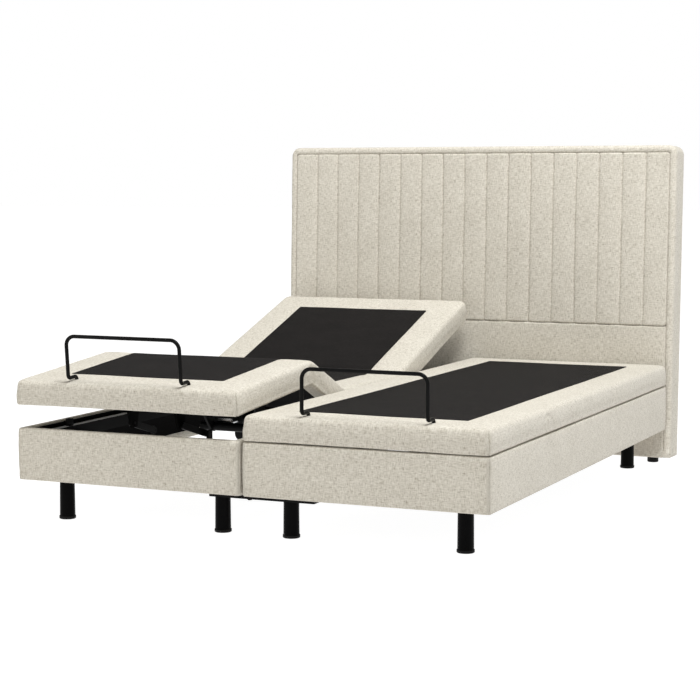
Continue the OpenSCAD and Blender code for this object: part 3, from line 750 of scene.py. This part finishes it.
def head_shell():
    """The headboard's padded border, wrapped sides and lined back."""
    w = HEAD_W / 2
    xs, ys = steps(-w + 0.04, w - 0.04, 0.014), steps(HEAD_BASE + 0.02, HEAD_TOP - 0.04, 0.014)
    rows = head_rows()
    verts, faces, weave, seam, kinds = slab(
        xs, ys, (-w, w, HEAD_BASE, HEAD_TOP), rows,
        lambda k, z: (HEAD_CORNER_R if k in (1, 2) else 0.006) + 0 * z, top=False,
        dark_from=len(rows) - 2)
    n = normals(verts, faces)
    shift = 0.6 * MM * noise(verts, (0.11, 0.11, 0.06), 21) + 0.3 * MM * noise(verts, 0.035, 22)
    shift -= 0.8 * MM * seam * smooth((verts[:, 1] - 1) / 0.1)
    front = smooth((verts[:, 2] + 0.012) / 0.008)
    side = smooth((-verts[:, 2] - 0.012) / 0.01) * smooth((verts[:, 2] + HEAD_T - 0.005) / 0.01)
    verts += n * (shift * (front + side))[:, None]
    # there is no border along the lower edge: the front steps back there, behind the lower pad
    low = smooth((HEAD_BASE + 0.010 - verts[:, 1]) / 0.008) * (np.abs(verts[:, 0]) < w - 0.030)
    back = np.minimum(verts[:, 2], verts[:, 2] * (1 - low) - 0.014 * low)
    verts[:, 2] = np.where(low > 0, back, verts[:, 2])
    obj = build("head_cover", stand(verts), faces, weave, kinds, [LINEN, LINING])
    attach(obj, "base")
    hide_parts("head_body")


def head_pad(name, verts, faces, weave, kinds, node):
    """One pad on the headboard's front."""
    obj = build(name, stand(verts), faces, weave, kinds, [LINEN])
    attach(obj, "base")
    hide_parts(node)


def channel_depth(x, along, grooves):
    """How deep each point lies in a groove, from 0 to about 1: a stitched line in a soft hollow."""
    deep = np.zeros(len(x))
    for i, g in enumerate(grooves):
        drift = 1.6 * MM * noise(along, 0.30, 30 + i) + 0.7 * MM * noise(along, 0.07, 50 + i)
        off = np.abs(x - g - drift)
        tight = 1 + 0.30 * noise(along, 0.055, 70 + i)
        deep = np.maximum(deep, tight * (0.65 * np.exp(-(off / 0.0022) ** 2)
                                         + 0.55 * np.exp(-(off / 0.015) ** 1.5)))
    return deep


def channel_pad():
    """The upper pad, quilted in upright channels."""
    pitch = 2 * PAD_W / CHANNELS
    grooves = -PAD_W + pitch * np.arange(1, CHANNELS)
    across = np.array([0, 0.8, 1.6, 2.6, 4.2, 7, 12, 20, 31, 46]) * MM
    xs = lines(*[[g + s * a for a in across if a < pitch / 2 for s in (-1, 1)] for g in grooves],
               steps(-PAD_W + 0.014, -PAD_W + pitch * 0.6, 0.009),
               steps(PAD_W - 0.014, PAD_W - pitch * 0.6, 0.009))
    ys = steps(HEAD_SEAM + 0.016, PAD_TOP - 0.014, 0.0065)
    rect = (-PAD_W, PAD_W, HEAD_SEAM + PAD_GAP / 2, PAD_TOP)
    verts, faces, weave, _, kinds = slab(xs, ys, rect, PAD_ROWS, lambda _, z: 0.011 + 0 * z,
                                         bottom=False)
    along = verts * (0, 1, 0)
    deep = channel_depth(verts[:, 0], along, grooves)
    crease = noise(verts, (0.030, 0.008, 1), 90) * smooth((np.clip(deep, 0, 1) - 0.05) / 0.3)
    rise = 2.2 * MM - 6.5 * MM * deep + 0.6 * MM * crease
    rise += 0.8 * MM * noise(verts, (0.07, 0.20, 1), 91) + 0.3 * MM * noise(verts, (0.03, 0.05, 1), 92)
    verts[:, 2] += rise * smooth((verts[:, 2] + 0.010) / 0.010)
    head_pad("head_channel_pad", verts, faces, weave, kinds, "head_channels")


def lower_pad():
    """The plain lower pad."""
    xs = steps(-PAD_W + 0.016, PAD_W - 0.016, 0.016)
    ys = steps(HEAD_BASE + 0.016, HEAD_SEAM - 0.016, 0.014)
    rect = (-PAD_W, PAD_W, HEAD_BASE, HEAD_SEAM - PAD_GAP / 2)
    verts, faces, weave, _, kinds = slab(xs, ys, rect, PAD_ROWS, lambda _, z: 0.006 + 0 * z,
                                         bottom=False)
    soft = 1.0 * MM * noise(verts, (0.20, 0.14, 1), 93) + 0.35 * MM * noise(verts, (0.06, 0.05, 1), 94)
    verts[:, 2] += soft * smooth((verts[:, 2] + 0.012) / 0.010)
    head_pad("head_lower_pad", verts, faces, weave, kinds, "head_lower")


for half in SIDES:
    deck(half)
    inlay(half)
    base_box(half)
head_shell()
channel_pad()
lower_pad()


# ---------------------------------------------------------------- stage, light, camera
FLOOR_SIZE = 60
EYE = (2.549, BASE_Y0 - 4.9354, 1.0882)
EYE_DOWN, EYE_TURN = 5.222, 23.888   # degrees
SENSOR, LENS = 36, 95.22


def floor():
    mesh = bpy.data.meshes.new("floor")
    s = FLOOR_SIZE
    mesh.from_pydata([(-s, -s, 0), (s, -s, 0), (s, s, 0), (-s, s, 0)], [], [(0, 1, 2, 3)])
    g = Graph("pale_floor")
    g.set(Base_Color=(0.22, 0.22, 0.22, 1), Roughness=1.0, Specular_IOR_Level=0.0,
          Emission_Color=(1, 1, 1, 1), Emission_Strength=0.98)
    mesh.materials.append(g.mat)
    obj = bpy.data.objects.new("floor", mesh)
    bpy.context.scene.collection.objects.link(obj)


def studio():
    """Soft warm light from all round; the camera itself sees white."""
    world = bpy.data.worlds.new("studio")
    world.use_nodes = True
    nodes, links = world.node_tree.nodes, world.node_tree.links
    lit = nodes["Background"]
    lit.inputs["Color"].default_value = (1, 0.975, 0.925, 1)
    lit.inputs["Strength"].default_value = 0.38
    shown = nodes.new("ShaderNodeBackground")
    shown.inputs["Color"].default_value = (1, 1, 1, 1)
    path = nodes.new("ShaderNodeLightPath")
    pick = nodes.new("ShaderNodeMixShader")
    links.new(path.outputs["Is Camera Ray"], pick.inputs[0])
    links.new(lit.outputs[0], pick.inputs[1])
    links.new(shown.outputs[0], pick.inputs[2])
    links.new(pick.outputs[0], nodes["World Output"].inputs[0])
    bpy.context.scene.world = world


def area(name, at, target, size, power, tint):
    """A round soft light that faces its target."""
    data = bpy.data.lights.new(name, "AREA")
    data.shape, data.size, data.energy = "DISK", size, power
    data.color = tint
    obj = bpy.data.objects.new(name, data)
    obj.location = at
    d = [t - a for t, a in zip(target, at)]
    obj.rotation_euler = (math.atan2(math.hypot(d[0], d[1]), -d[2]), 0,
                          math.atan2(d[1], d[0]) - math.pi / 2)
    bpy.context.scene.collection.objects.link(obj)


def camera():
    """The photograph's viewpoint."""
    data = bpy.data.cameras.new("camera")
    data.sensor_width, data.lens = SENSOR, LENS
    obj = bpy.data.objects.new("camera", data)
    obj.location = EYE
    obj.rotation_euler = (math.radians(90 - EYE_DOWN), 0, math.radians(EYE_TURN))
    bpy.context.scene.collection.objects.link(obj)
    bpy.context.scene.camera = obj


floor()
studio()
area("key", (1.9, -1.5, 6.0), (0, 0, 0.3), 2.9, 500, (0.97, 0.985, 1.0))
area("fill", (-3.4, -4.2, 1.9), (-0.3, -0.6, 0.3), 1.8, 40, (1.0, 0.975, 0.93))
camera()
bpy.context.scene.view_settings.view_transform = "Standard"
